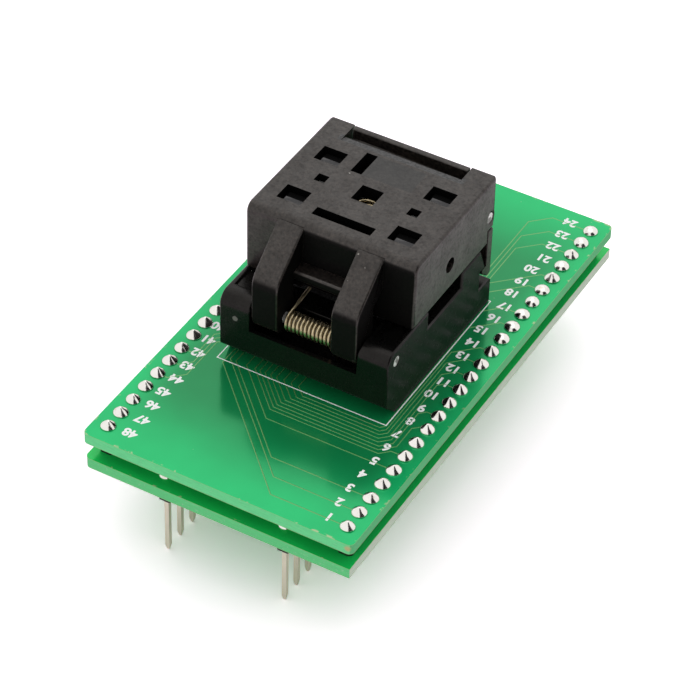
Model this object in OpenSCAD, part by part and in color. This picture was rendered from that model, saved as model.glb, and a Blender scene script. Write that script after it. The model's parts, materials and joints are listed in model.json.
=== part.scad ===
// Clamshell test socket for a 48-lead flat chip, on a two-board stack that plugs in like a wide dual-row package.
// Millimetres. X runs to the row of pins 1 to 24, Y runs from the hinge to the latch, Z is up, pin tips at Z = 0.

/* [Boards] */
// Board left outside each outer pin row
board_edge = 1.91; // [1.5:0.01:3]
// Board left beyond the last pin at each end of a row
board_end = 2.39; // [1.8:0.01:4]
// Thickness of each board
board_t = 1.4; // [0.8:0.1:1.6]
// Board missing at each side of the lower board
lower_trim = 0.2; // [0:0.05:0.4]
// Corner radius of the boards
board_r = 0.7; // [0.3:0.1:2]

/* [Pin rows] */
// Distance between neighbouring pins
pitch = 2.54; // [2.54]
// Pins in one row
pin_count = 24; // [8:1:24]
// Distance between the two rows of board-joining pins
row_space = 30.48; // [28:0.02:34]
// Distance between the two rows of plug pins
dip_space = 15.24; // [15.24]
// Side of a square pin
pin_side = 0.56; // [0.5:0.02:0.6]
// Length of a plug pin below its strip
plug_len = 8.0; // [4:0.1:9]
// Length of the taper at a plug pin's tip
tip_len = 0.7; // [0.3:0.1:1.2]
// Height of the plastic strips
strip_h = 2.15; // [1.9:0.05:2.6]
// Width of the plastic strips
strip_w = 1.9; // [1.8:0.1:2.5]
// Strip left beyond the last pin at each end
strip_end = 0.75; // [0.6:0.05:1.27]
// Bore of the plated holes for the square pins
hole_d = 1.02; // [0.98:0.02:1.2]
// Height a pin stands out of its board
pin_out = 1.05; // [0.8:0.05:1.4]
// Diameter of a solder joint on its board
solder_d = 1.9; // [1.9:0.05:2.2]

/* [Socket base] */
// Width of the socket
base_w = 21.6; // [20:0.1:24]
// Front face of the base
base_front = -13.05; // [-14:0.05:-12.7]
// Rear face of the base
base_rear = 11.5; // [11:0.1:13]
// Height of the base's walls
base_h = 9.5; // [9:0.1:11]
// Bevel under the base's front edge
front_bevel = 2.3; // [1:0.1:3]
// Inner face of the hinge ears
ear_in = 6.9; // [6:0.1:8]
// Rounding at the top of the ears
ear_r = 1.65; // [1:0.05:2]
// Top of the lip in front of the hinge
lip_h = 5.6; // [5:0.1:5.6]
// Floor thickness of the base
floor_t = 2.4; // [2:0.1:3]
// Thickness of the base's side walls
wall_t = 1.8; // [1.2:0.1:2.4]
// Half width of the notch in each side wall, along Y
notch_half = 3.92; // [3:0.02:5]
// Middle of that notch along Y
notch_y = 0.25; // [-1:0.05:1]
// Bottom of that notch
notch_z = 7.2; // [6.5:0.1:8]

/* [Hinge] */
// Hinge axis along Y
hinge_y = -11.03; // [-11.2:0.01:-10.8]
// Hinge axis above the board
hinge_z = 7.8; // [7.6:0.05:8]
// Diameter of the hinge and latch pins
pin_d = 1.3; // [1:0.05:1.4]
// Radius of the lid's knuckles
knuckle_r = 1.9; // [1.6:0.05:1.9]
// Outside diameter of the hinge spring
hinge_spring_d = 2.5; // [2.4:0.05:2.7]
// Wire of the hinge spring
hinge_wire = 0.42; // [0.3:0.02:0.46]
// Turns of the hinge spring
hinge_turns = 12; // [8:1:12]

/* [Lid] */
// Front wall of the lid
lid_front = -7.32; // [-8:0.02:-7]
// Top of the lid above the board
lid_top = 18.4; // [18:0.1:20]
// Thickness of the lid's top
lid_top_t = 1.6; // [1.2:0.1:2.2]
// Thickness of the lid's walls
lid_wall = 1.6; // [1.2:0.1:2]
// Rounding of the lid's front edge
lid_r = 1.2; // [0.5:0.1:2]
// Inner face of the two arms
arm_in = 3.4; // [3:0.1:4]
// Outer face of the two arms
arm_out = 6.75; // [6:0.05:6.8]
// Fall of the arms' sloping front, in degrees
arm_fall = 40; // [35:1:45]
// Rounding where the slope meets the upright front of an arm
arm_r = 2.4; // [1.5:0.1:3]
// Top of the bar between the arms
bar_z = 13.2; // [12.5:0.1:14]
// Front of that bar
bar_front = -9.3; // [-10:0.1:-8.5]
// Middle of the chip's place along Y
chip_y = 0.95; // [0:0.05:2]

/* [Latch] */
// Latch axis along Y
latch_y = 10.37; // [10:0.01:10.6]
// Latch axis above the board
latch_z = 13.24; // [12.5:0.02:14]
// Half width of the latch between the lid's cheeks
latch_half = 7.45; // [7:0.05:8]
// Height of the catch's underside on the base
catch_z = 6.3; // [5.5:0.1:7]
// Tip of the catch along Y
catch_tip = 10.03; // [9.8:0.01:10.1]
// Tip of the hook along Y
hook_tip = 9.3; // [9.1:0.02:9.6]

/* [Chip and contacts] */
// Side of the square chip the socket takes
chip_side = 7.0; // [5:0.1:8]
// Contacts on each side of the chip
contact_count = 12; // [8:1:12]
// Distance between contacts
contact_pitch = 0.5; // [0.5]
// Height of the contacts' tips above the board
contact_z = 6.3; // [5.8:0.1:6.4]
// Thickness of the contact strip, seen from the side
contact_strip = 0.3; // [0.2:0.05:0.35]
// Stroke of the pressure pad
pad_stroke = 0.75; // [0.3:0.05:0.8]

/* [Hidden] */
$fn = 48;
eps = 0.01;
lower_strip_z = plug_len;
lower_board_z = lower_strip_z + strip_h;
upper_strip_z = lower_board_z + board_t;
upper_board_z = upper_strip_z + strip_h;
top_z = upper_board_z + board_t;
row_len = (pin_count - 1) * pitch;
strip_l = row_len + 2 * strip_end;
board_w = row_space + 2 * board_edge;
board_l = row_len + 2 * board_end;
strip_hole = pin_side + 0.02;
slide_gap = 0.1;
seat_gap = 0.05;
run_gap = 0.04;
press_gap = 0.01;
half_w = base_w / 2;
lid_rear = base_rear;
lid_bot = base_h + seat_gap;
well_half = half_w - wall_t;
well_front = -6.0;
well_rear = 7.2;
bay_rear = hinge_y + knuckle_r + 0.23;
bay_wall_z = hinge_z + 0.2;
lip_t = 0.75;
bay_floor = 3;
ledge_z = catch_z - 2.68;
slot_y = 8.79;
post_top = 8.65;
latch_front = 10.3;
cheek_z = 11.33;
cheek_half = latch_half + 0.15;
plate_top = cheek_z - 0.2;
latch_low = catch_z - 1.8;
bay_y = 9.15;
bay_edge = 8.15;
bay_fall = 0.2;
latch_barrel = lid_rear - latch_y;
latch_spring_z = latch_z + 2.36;
latch_spring_d = 1.8;
nest_z = 5.0;
nest_top = 7.0;
nest_open = chip_side + 0.1;
boss_half = chip_side / 2 - 0.3;
boss_z = contact_z + 0.75;
pad_plate_z = 11.2;
pad_plate_t = 2.0;
pad_half_x = half_w - lid_wall - 0.3;
pad_half_y = 5.3;
pad_top = pad_plate_z + pad_plate_t;
press_spring_d = 3.7;
press_wire = 0.5;
press_seat = pad_top - 1.0;
win_out = 8.58;
win_in = 5.5;
win_leg = 0.79;
win_strip = 1.7;
win_leg_len = 0.88;
win_step = 0.2;
win_rows = [6.29, -1.9];
hook_head_z = lid_top - lid_top_t + 0.45;
post_sq = 1.2;
post_hole = 1.34;
post_x = 5.91;
tail = 0.3;
tail_rows = [5.05, 5.85];
contact_t = 0.2;
contact_in = 0.1;
contact_r = tail_rows[0] - 0.3;
contact_out = tail_rows[1] + 0.2;
tail_out = 0.9;
leg_top = base_h + 0.3;
leg_reach = 0.6;
leg_lean = 30;
coil_r = (hinge_spring_d - hinge_wire) / 2;
coil_z = hinge_z - coil_r + hinge_wire / 2 + pin_d / 2 + 0.02;
coil_step = (2 * arm_in - 0.74 - hinge_wire) / (hinge_turns - 1);

// Box between two opposite corners
module box(a, b) {
    translate(a) cube([b[0] - a[0], b[1] - a[1], b[2] - a[2]]);
}

// Shape drawn in Y and Z, drawn out along X about the middle
module along_x(w) {
    rotate([90, 0, 90]) linear_extrude(height = w, center = true) children();
}

// Round bar along X, given by its middle in Y and Z
module bar_x(y, z, r, w) {
    translate([0, y, z]) rotate([0, 90, 0]) cylinder(r = r, h = w, center = true);
}

// One copy at every pin of a row
module at_pins(x) {
    for (i = [0 : pin_count - 1]) translate([x, -row_len / 2 + i * pitch, 0]) children();
}

// Everything of the socket is measured from the top of the upper board
module on_board() {
    translate([0, 0, top_z]) children();
}

// Plain board with rounded corners, given its width
module board_plate(w) {
    x = w / 2 - board_r;
    y = board_l / 2 - board_r;
    union() {
        box([-w / 2, -y, 0], [w / 2, y, board_t]);
        box([-x, -board_l / 2, 0], [x, board_l / 2, board_t]);
        for (sx = [-1, 1], sy = [-1, 1]) translate([sx * x, sy * y, 0]) cylinder(r = board_r, h = board_t);
    }
}

module pin_holes(x) {
    at_pins(x) translate([0, 0, -1]) cylinder(d = hole_d, h = board_t + 2);
}

// Places of the contact tails, seen from above
module at_tails() {
    for (q = [0 : 3]) translate([0, chip_y, 0]) rotate([0, 0, q * 90])
        for (i = [0 : contact_count - 1])
            translate([(i - (contact_count - 1) / 2) * contact_pitch, tail_rows[i % 2], 0]) children();
}

module upper_board() {
    color("seagreen") translate([0, 0, upper_board_z]) difference() {
        board_plate(board_w);
        for (s = [-1, 1]) pin_holes(s * row_space / 2);
        at_tails() translate([0, 0, -1]) cylinder(d = 0.5, h = board_t + 2);
    }
}

// The lower board's right side is broken off along a straight line, with square corners
module lower_board() {
    w = board_w - 2 * lower_trim;
    color("seagreen") translate([0, 0, lower_board_z]) difference() {
        union() {
            board_plate(w);
            box([0, -board_l / 2, 0], [w / 2, board_l / 2, board_t]);
        }
        for (s = [-1, 1]) pin_holes(s * row_space / 2);
        for (s = [-1, 1]) pin_holes(s * dip_space / 2);
    }
}

// Pin strip with a notch between neighbouring pins, as moulded to be snapped off
module strip(x, z) {
    notch = 0.5;
    color("#1c1c1c") translate([0, 0, z]) difference() {
        box([x - strip_w / 2, -strip_l / 2, 0], [x + strip_w / 2, strip_l / 2, strip_h]);
        at_pins(x) translate([0, 0, strip_h / 2]) cube([strip_hole, strip_hole, strip_h + 2], center = true);
        for (i = [0 : pin_count], s = [-1, 1])
            translate([x + s * strip_w / 2, max(-strip_l / 2, min(strip_l / 2, (i - pin_count / 2) * pitch)), strip_h / 2])
                rotate([0, 0, 45]) cube([notch, notch, strip_h + 2], center = true);
    }
}

module upper_strip_left() { strip(-row_space / 2, upper_strip_z); }
module upper_strip_right() { strip(row_space / 2, upper_strip_z); }
module lower_strip_left() { strip(-dip_space / 2, lower_strip_z); }
module lower_strip_right() { strip(dip_space / 2, lower_strip_z); }

module joining_pins(x) {
    z0 = lower_board_z - pin_out;
    z1 = top_z + pin_out;
    color("#c9c5b8") at_pins(x) translate([0, 0, (z0 + z1) / 2]) cube([pin_side, pin_side, z1 - z0], center = true);
}

module joining_pins_left() { joining_pins(-row_space / 2); }
module joining_pins_right() { joining_pins(row_space / 2); }

// Square pin with four slopes at its lower tip
module plug_pin() {
    z1 = upper_strip_z + pin_out;
    fall = atan((pin_side / 2 - 0.14) / tip_len);
    difference() {
        translate([0, 0, z1 / 2]) cube([pin_side, pin_side, z1], center = true);
        for (q = [0 : 3]) rotate([0, 0, q * 90]) translate([0.14, -1, 0]) rotate([0, fall, 0])
            translate([0, 0, -1]) cube([1, 2, 3]);
    }
}

module plug_pins_left() { color("#c9c5b8") at_pins(-dip_space / 2) plug_pin(); }
module plug_pins_right() { color("#c9c5b8") at_pins(dip_space / 2) plug_pin(); }

// Solder cone around one pin, standing on a board's face
module solder_cone() {
    r = solder_d / 2;
    difference() {
        rotate_extrude() polygon([[0, 0], [r, 0], [r * 0.96, 0.1], [r * 0.76, 0.34], [r * 0.58, 0.6],
            [r * 0.48, pin_out - 0.1], [0, pin_out - 0.1]]);
        translate([0, 0, pin_out / 2]) cube([strip_hole, strip_hole, pin_out + 2], center = true);
    }
}

module solder_up(x, z) { color("silver") at_pins(x) translate([0, 0, z]) solder_cone(); }
module solder_down(x, z) { color("silver") at_pins(x) translate([0, 0, z]) mirror([0, 0, 1]) solder_cone(); }

module top_solder_left() { solder_up(-row_space / 2, top_z); }
module top_solder_right() { solder_up(row_space / 2, top_z); }
module under_solder_left() { solder_down(-row_space / 2, lower_board_z); }
module under_solder_right() { solder_down(row_space / 2, lower_board_z); }
module plug_solder_left() { solder_up(-dip_space / 2, upper_strip_z); }
module plug_solder_right() { solder_up(dip_space / 2, upper_strip_z); }

// Outer form of the base, seen from the side: bevelled front foot, catch and ledge at the rear
module base_side() {
    polygon([[base_front + front_bevel, 0], [base_rear, 0], [base_rear, ledge_z], [slot_y, ledge_z],
        [slot_y, catch_z], [catch_tip, catch_z], [post_top, base_h], [base_front, base_h], [base_front, front_bevel]]);
}

module socket_base() {
    color("#202121") on_board() difference() {
        union() {
            difference() {
                along_x(base_w) base_side();
                box([-well_half, well_front, floor_t], [well_half, well_rear, base_h + 1]);
            }
            box([-2.2, chip_y - 2.2, floor_t - eps], [2.2, chip_y + 2.2, contact_z - 0.3]);
            for (s = [-1, 1]) {
                box([s > 0 ? 7.2 : -well_half, well_front - eps, floor_t - eps],
                    [s > 0 ? well_half : -7.2, well_front + 1.6, nest_z]);
                box([s > 0 ? 7.2 : -well_half, well_rear - 1.6, floor_t - eps],
                    [s > 0 ? well_half : -7.2, well_rear + eps, nest_z]);
            }
        }
        difference() {
            box([-half_w - 1, base_front - 1, base_h - ear_r], [half_w + 1, base_front + ear_r, base_h + 1]);
            bar_x(base_front + ear_r, base_h - ear_r, ear_r, base_w + 4);
        }
        box([-ear_in, base_front + lip_t, bay_floor], [ear_in, bay_rear, base_h + 1]);
        box([-ear_in, base_front - 1, lip_h], [ear_in, bay_rear, base_h + 1]);
        box([-ear_in, bay_rear - eps, bay_wall_z], [ear_in, well_front + eps, base_h + 1]);
        for (s = [-1, 1]) {
            box([s > 0 ? ear_in - eps : -half_w + 0.6, hinge_y + 0.3, base_h - 0.35],
                [s > 0 ? half_w - 0.6 : -ear_in + eps, well_front + eps, base_h + 1]);
            box([s > 0 ? well_half - eps : -half_w - 1, notch_y - notch_half, notch_z],
                [s > 0 ? half_w + 1 : -well_half + eps, notch_y + notch_half, base_h + 1]);
        }
        bar_x(hinge_y, hinge_z, pin_d / 2 + press_gap, base_w + 2);
        at_tails() translate([0, 0, floor_t / 2]) cube([tail + 0.06, tail + 0.06, floor_t + 2], center = true);
    }
}

// Frame that drops the chip into line with the contacts
module chip_nest() {
    h = nest_open / 2;
    lead = 0.7;
    color("#2a2b2c") on_board() difference() {
        box([-well_half + slide_gap, well_front + slide_gap, nest_z],
            [well_half - slide_gap, well_rear - slide_gap, nest_top]);
        box([-h, chip_y - h, nest_z - 1], [h, chip_y + h, nest_top + 1]);
        translate([0, chip_y, nest_top - lead]) rotate([0, 0, 45])
            cylinder(r1 = h * sqrt(2), r2 = (h + 2 * lead) * sqrt(2), h = 2 * lead, $fn = 4);
    }
}

// One bent contact, drawn outward from the chip's middle, with its tail through the board
module contact(row) {
    t = contact_strip;
    bend = t * 0.8;
    tip = chip_side / 2 - contact_in;
    knee = nest_z - 0.5 * t;
    rotate([90, 0, 90]) linear_extrude(height = contact_t, center = true)
        polygon([[contact_out, floor_t], [contact_out, floor_t + t], [contact_r + bend, floor_t + t],
            [contact_r, floor_t + t + bend], [contact_r, knee - 2.5 * t], [contact_r - bend, knee - 1.5 * t],
            [tip + bend / 2, knee], [tip, knee + bend], [tip, contact_z], [tip - t, contact_z], [tip - t, knee],
            [tip - bend / 2, knee - bend], [contact_r - t - bend / 2, knee - 1.5 * t - bend],
            [contact_r - t, knee - 3 * t], [contact_r - t, floor_t + t], [contact_r, floor_t]]);
    translate([0, tail_rows[row], (floor_t - board_t - tail_out) / 2 + 0.05])
        cube([contact_t, tail, floor_t + board_t + tail_out + 0.1], center = true);
}

module contact_row(q) {
    color("goldenrod") on_board() translate([0, chip_y, 0]) rotate([0, 0, q * 90])
        for (i = [0 : contact_count - 1])
            translate([(i - (contact_count - 1) / 2) * contact_pitch, 0, 0]) union() { contact(i % 2); }
}

module contacts_rear() { contact_row(0); }
module contacts_left() { contact_row(1); }
module contacts_front() { contact_row(2); }
module contacts_right() { contact_row(3); }

module hinge_pin() {
    color("silver") on_board() bar_x(hinge_y, hinge_z, pin_d / 2, base_w - 0.1);
}

// Close-wound spring hanging on its pin: rings joined by a thin sleeve, one leg under the lid's front wall
// and one slanting back down to the base's floor
module hinge_spring() {
    leg = hinge_wire / 2 - 0.02;
    x0 = -(hinge_turns - 1) * coil_step / 2;
    run = lid_front + leg_reach - hinge_y;
    rise = leg_top - leg - 0.08 - coil_z - coil_r;
    drop = coil_z - coil_r * sin(leg_lean) - bay_floor - 0.15;
    color("#b9ad86") on_board() union() {
        translate([0, hinge_y, coil_z]) rotate([0, 90, 0]) {
            for (i = [0 : hinge_turns - 1]) translate([0, 0, x0 + i * coil_step])
                rotate_extrude() translate([coil_r, 0]) circle(d = hinge_wire);
            difference() {
                cylinder(r = coil_r + 0.06, h = -2 * x0, center = true);
                cylinder(r = coil_r - 0.06, h = -2 * x0 + 1, center = true);
            }
        }
        translate([x0, hinge_y, coil_z + coil_r]) rotate([-90 + atan(rise / run), 0, 0])
            cylinder(r = leg, h = sqrt(run * run + rise * rise));
        translate([-x0, hinge_y - coil_r * cos(leg_lean), coil_z - coil_r * sin(leg_lean)])
            rotate([180 + leg_lean, 0, 0]) cylinder(r = leg, h = drop / cos(leg_lean));
    }
}

// Side view of one arm: a slope from the lid's front edge, rounded into an upright front
module arm_side() {
    front = hinge_y - knuckle_r;
    rear = hinge_y + knuckle_r;
    z0 = lid_top - 0.5;
    cy = front + arm_r;
    cz = z0 - tan(arm_fall) * (lid_front - cy) - arm_r / cos(arm_fall);
    ty = cy - arm_r * sin(arm_fall);
    tz = cz + arm_r * cos(arm_fall);
    polygon([[lid_front + 0.5, z0 + 0.5 * tan(arm_fall) - 0.4], [lid_front, z0], [ty, tz], [cy, cz], [front, cz],
        [front, hinge_z], [rear, hinge_z], [rear, bar_z - 0.9], [lid_front + 0.5, bar_z + 0.6]]);
}

module arm(s) {
    w = arm_out - arm_in;
    cy = hinge_y - knuckle_r + arm_r;
    cz = lid_top - 0.5 - tan(arm_fall) * (lid_front - cy) - arm_r / cos(arm_fall);
    translate([s * (arm_in + arm_out) / 2, 0, 0]) {
        along_x(w) arm_side();
        intersection() {
            bar_x(cy, cz, arm_r, w);
            box([-w, cy - arm_r - 1, cz - eps], [w, cy + eps, cz + arm_r]);
        }
        bar_x(hinge_y, hinge_z, knuckle_r, w);
    }
}

// L-shaped opening in the lid's top with a shelf for a snap hook, and a shallow step in its fourth corner
module hook_window(x0, y1, shelf) {
    z0 = lid_top - lid_top_t;
    x1 = x0 + win_out - win_in;
    difference() {
        union() {
            box([x0, y1 - win_strip, z0 - 1], [x1, y1, lid_top + 1]);
            box([x0, y1 - win_strip - win_leg_len, z0 - 1], [x0 + win_leg, y1 - win_strip + eps, lid_top + 1]);
            box([x0 + win_leg - eps, y1 - win_strip - win_leg_len, lid_top - win_step], [x1, y1 - win_strip + eps, lid_top + 1]);
        }
        box([shelf > 0 ? x1 - 1 : x0 - 1, y1 - win_strip - 2, z0 - 2],
            [shelf > 0 ? x1 + 1 : x0 + 1, y1 + 1, z0 + 0.4]);
    }
}

module lid_openings() {
    z0 = lid_top - lid_top_t - 1;
    z1 = lid_top + 1;
    for (y = win_rows) {
        hook_window(-win_out, y, -1);
        hook_window(win_in, y, 1);
    }
    box([-1.36, chip_y - 1.38, z0], [1.36, chip_y + 1.38, z1]);
    for (s = [-1, 1]) translate([s * post_x, chip_y, lid_top]) cube([post_hole, post_hole, 6], center = true);
    box([-3.72, -5.07, z0], [3.72, -3.69, z1]);
    box([-3.85, 3.85, z0], [-2.45, 7.7, z1]);
}

module lid() {
    cut = half_w + 1;
    color("#3d3937") on_board() difference() {
        union() {
            difference() {
                box([-half_w, lid_front, lid_bot], [half_w, lid_rear, lid_top]);
                difference() {
                    box([-cut, lid_front - 1, lid_top - lid_r], [cut, lid_front + lid_r, lid_top + 1]);
                    bar_x(lid_front + lid_r, lid_top - lid_r, lid_r, base_w + 4);
                }
            }
            for (s = [-1, 1]) arm(s);
            box([-arm_in - 1, bar_front, bar_z - 1.1], [arm_in + 1, lid_front + 0.5, bar_z]);
        }
        box([-arm_in, lid_front - 1, lid_bot - 1], [arm_in, lid_front + lid_wall + eps, leg_top]);
        box([-half_w + lid_wall, lid_front + lid_wall, base_h - 2],
            [half_w - lid_wall, well_rear, lid_top - lid_top_t]);
        along_x(2 * cheek_half) polygon([[bay_edge, lid_top + 1], [bay_edge, lid_top], [bay_y, lid_top - bay_fall],
            [bay_y, lid_bot - 1], [lid_rear + 1, lid_bot - 1], [lid_rear + 1, lid_top + 1]]);
        box([-cut, latch_front - 0.1, lid_bot - 1], [cut, lid_rear + 1, cheek_z]);
        lid_openings();
        bar_x(chip_y - 0.13, 13.1, 0.95, base_w + 2);
        bar_x(hinge_y, hinge_z, pin_d / 2 + run_gap, 2 * arm_out + 2);
        bar_x(latch_y, latch_z, pin_d / 2 + press_gap, base_w + 2);
        translate([0, bay_y + eps, latch_spring_z]) rotate([90, 0, 0]) cylinder(d = latch_spring_d + 0.3, h = 0.75);
    }
}

module latch() {
    z0 = latch_low;
    color("#343230") on_board() difference() {
        union() {
            along_x(2 * latch_half) polygon([[lid_rear, lid_top], [lid_rear - 0.8, lid_top], [lid_rear - 0.8, lid_top - 1.3],
                [latch_front, lid_top - 1.7], [latch_front, catch_z - 1], [lid_rear, catch_z - 1]]);
            along_x(base_w - 0.1) polygon([[lid_rear, plate_top], [latch_front, plate_top],
                [latch_front, catch_z - seat_gap], [hook_tip, catch_z - seat_gap], [hook_tip, catch_z - 0.7],
                [10.62, z0], [lid_rear, z0 + 0.25]]);
            bar_x(latch_y, latch_z, latch_barrel, 2 * latch_half);
        }
        bar_x(latch_y, latch_z, pin_d / 2 + run_gap, base_w);
        translate([0, latch_front - eps, latch_spring_z]) rotate([-90, 0, 0])
            cylinder(d = latch_spring_d + 0.3, h = 0.6);
    }
}

module latch_pin() {
    color("silver") on_board() bar_x(latch_y, latch_z, pin_d / 2, base_w - 0.1);
}

// Rings of a small compression spring joined by a thin sleeve, drawn up along Z
module push_spring(d, wire, length, turns) {
    r = (d - wire) / 2;
    step = (length - wire) / (turns - 1);
    union() {
        for (i = [0 : turns - 1]) translate([0, 0, wire / 2 + i * step])
            rotate_extrude() translate([r, 0]) circle(d = wire);
        translate([0, 0, wire / 2]) difference() {
            cylinder(r = r + 0.05, h = length - wire);
            translate([0, 0, -1]) cylinder(r = r - 0.05, h = length - wire + 2);
        }
    }
}

module latch_spring() {
    y0 = bay_y - 0.73;
    color("#b9ad86") on_board() translate([0, y0, latch_spring_z]) rotate([-90, 0, 0])
        push_spring(latch_spring_d, 0.25, latch_front + 0.57 - y0, 5);
}

module pressure_pad() {
    boss = boss_half;
    hook = win_in + 0.3;
    color("#2d2c2c") on_board() difference() {
        union() {
            box([-pad_half_x, chip_y - pad_half_y, pad_plate_z], [pad_half_x, chip_y + pad_half_y, pad_top]);
            box([-boss, chip_y - boss, boss_z], [boss, chip_y + boss, pad_plate_z + eps]);
            for (s = [-1, 1]) {
                translate([s * post_x, chip_y, 0]) box([-post_sq / 2, -post_sq / 2, pad_top - eps],
                    [post_sq / 2, post_sq / 2, lid_top - 0.9]);
                for (y = win_rows) {
                    box([s > 0 ? hook : -hook - 1.6, y - 1.5, pad_top - eps],
                        [s > 0 ? hook + 1.6 : -hook, y - 0.2, hook_head_z + 0.4]);
                    box([s > 0 ? hook : -hook - 2.4, y - 1.5, hook_head_z],
                        [s > 0 ? hook + 2.4 : -hook, y - 0.2, hook_head_z + 0.4]);
                }
            }
        }
        translate([0, chip_y, press_seat]) cylinder(d = press_spring_d + 0.4, h = 2);
    }
}

module pressure_spring() {
    color("#b9ad86") on_board() translate([0, chip_y, press_seat + 0.01])
        push_spring(press_spring_d, press_wire, lid_top - lid_top_t - press_seat - 0.02, 5);
}

upper_board();
lower_board();
upper_strip_left();
upper_strip_right();
lower_strip_left();
lower_strip_right();
joining_pins_left();
joining_pins_right();
plug_pins_left();
plug_pins_right();
top_solder_left();
top_solder_right();
under_solder_left();
under_solder_right();
plug_solder_left();
plug_solder_right();
socket_base();
chip_nest();
contacts_front();
contacts_rear();
contacts_left();
contacts_right();
hinge_pin();
hinge_spring();
lid();
latch();
latch_pin();
latch_spring();
pressure_pad();
pressure_spring();
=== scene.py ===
import json
import math
import random

import bpy
from mathutils import Matrix, Vector

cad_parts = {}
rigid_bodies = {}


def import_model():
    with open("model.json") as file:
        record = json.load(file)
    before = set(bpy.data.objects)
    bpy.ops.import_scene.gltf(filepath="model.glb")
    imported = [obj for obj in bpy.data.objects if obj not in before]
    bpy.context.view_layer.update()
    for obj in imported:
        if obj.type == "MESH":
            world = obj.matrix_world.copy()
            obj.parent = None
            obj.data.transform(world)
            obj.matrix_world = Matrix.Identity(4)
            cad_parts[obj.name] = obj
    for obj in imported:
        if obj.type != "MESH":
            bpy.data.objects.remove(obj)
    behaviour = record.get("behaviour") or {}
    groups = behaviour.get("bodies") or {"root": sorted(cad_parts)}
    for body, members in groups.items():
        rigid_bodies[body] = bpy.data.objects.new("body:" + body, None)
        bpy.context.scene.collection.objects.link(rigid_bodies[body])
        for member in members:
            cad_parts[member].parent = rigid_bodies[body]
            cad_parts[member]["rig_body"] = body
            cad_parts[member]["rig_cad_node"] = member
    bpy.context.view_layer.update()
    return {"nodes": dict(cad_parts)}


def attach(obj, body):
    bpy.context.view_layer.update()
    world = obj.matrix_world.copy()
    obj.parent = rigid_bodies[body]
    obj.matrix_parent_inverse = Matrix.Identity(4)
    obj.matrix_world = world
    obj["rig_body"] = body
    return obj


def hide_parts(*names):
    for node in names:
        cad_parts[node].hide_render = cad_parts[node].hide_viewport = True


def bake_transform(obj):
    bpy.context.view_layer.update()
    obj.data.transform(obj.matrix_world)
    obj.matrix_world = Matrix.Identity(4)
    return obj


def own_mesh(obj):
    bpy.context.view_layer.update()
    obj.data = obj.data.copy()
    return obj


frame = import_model()
nodes = frame["nodes"]
mm = 0.001
chance = random.Random(48)
bpy.context.scene.view_settings.view_transform = "Standard"
print("frame loaded:", len(nodes), "nodes")

# camera: its place in metres, and where its right, top and back point
shot = {
    "lens": 156.791, "sensor": 36, "near": 0.01,
    "place": (0.125801, -0.233132, 0.244826),
    "right": (0.86765, 0.49658, 0.02435),
    "up": (-0.34446, 0.5651, 0.74967),
    "back": (0.35851, -0.65884, 0.66136),
}
bpy.ops.object.camera_add()
camera = bpy.context.object
camera.data.lens = shot["lens"]
camera.data.sensor_width = shot["sensor"]
camera.data.clip_start = shot["near"]
turned = Matrix((shot["right"], shot["up"], shot["back"])).transposed().to_4x4()
camera.matrix_world = Matrix.Translation(shot["place"]) @ turned
bpy.context.scene.camera = camera

# softboxes: where each stands, its size in metres and how bright its face is
lampSet = {
    "topBox": {"from": (-0.05, 0.1, 0.6), "size": 0.55, "face": 0.35},
    "rearLeftBox": {"from": (-0.34, 0.6, 0.56), "size": 0.5, "face": 0.25},
}
for lampName, box in lampSet.items():
    bpy.ops.object.light_add(type="AREA", location=box["from"])
    lamp = bpy.context.object
    lamp.name = lampName
    lamp.data.size = box["size"]
    lamp.data.energy = box["face"] * math.pi * box["size"] ** 2
    lamp.rotation_euler = Vector(box["from"]).to_track_quat("Z", "Y").to_euler()


class Wire:
    def __init__(self, tree, socket=None):
        self.tree = tree
        self.socket = socket

    # any node: settings first, then values or links, then the output to carry on from
    def node(self, kind, settings=None, sockets=None, out=0):
        made = self.tree.nodes.new("ShaderNode" + kind)
        for name, value in (settings or {}).items():
            setattr(made, name, value)
        for name, value in (sockets or {}).items():
            if isinstance(value, Wire):
                self.tree.links.new(value.socket, made.inputs[name])
            else:
                made.inputs[name].default_value = value
        return Wire(self.tree, made.outputs[out]) if made.outputs else self

    def maths(self, sort, first, second):
        return self.node("Math", {"operation": sort}, {0: first, 1: second})

    def __add__(self, other):
        return self.maths("ADD", self, other)

    def __radd__(self, other):
        return self.maths("ADD", other, self)

    def __sub__(self, other):
        return self.maths("SUBTRACT", self, other)

    def __rsub__(self, other):
        return self.maths("SUBTRACT", other, self)

    def __mul__(self, other):
        return self.maths("MULTIPLY", self, other)

    def __rmul__(self, other):
        return self.maths("MULTIPLY", other, self)

    def __gt__(self, other):
        return self.maths("GREATER_THAN", self, other)

    def __lt__(self, other):
        return self.maths("LESS_THAN", self, other)

    def __abs__(self):
        return self.maths("ABSOLUTE", self, 0)


def emptyFinish(name):
    finish = bpy.data.materials.new(name)
    finish.use_nodes = True
    finish.node_tree.nodes.clear()
    return finish, Wire(finish.node_tree)


# a new finish, with its Object coordinates in millimetres
def startFinish(name):
    finish, start = emptyFinish(name)
    place = start.node("TexCoord", out="Object")
    place = start.node("VectorMath", {"operation": "SCALE"}, {0: place, "Scale": 1 / mm})
    return finish, start, place


def closeFinish(shader):
    shader.node("OutputMaterial", None, {"Surface": shader})


def axes(vector):
    return [vector.node("SeparateXYZ", None, {0: vector}, n) for n in range(3)]


def farFrom(place, point):
    return place.node("VectorMath", {"operation": "DISTANCE"}, {0: place, 1: point}, 1)


def grain(place, scale, detail=3, rough=0.55, stretch=(1, 1, 1)):
    spread = place.node("Mapping", None, {"Vector": place, "Scale": stretch})
    return place.node("TexNoise", None, {"Vector": spread, "Scale": scale, "Detail": detail, "Roughness": rough})


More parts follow.
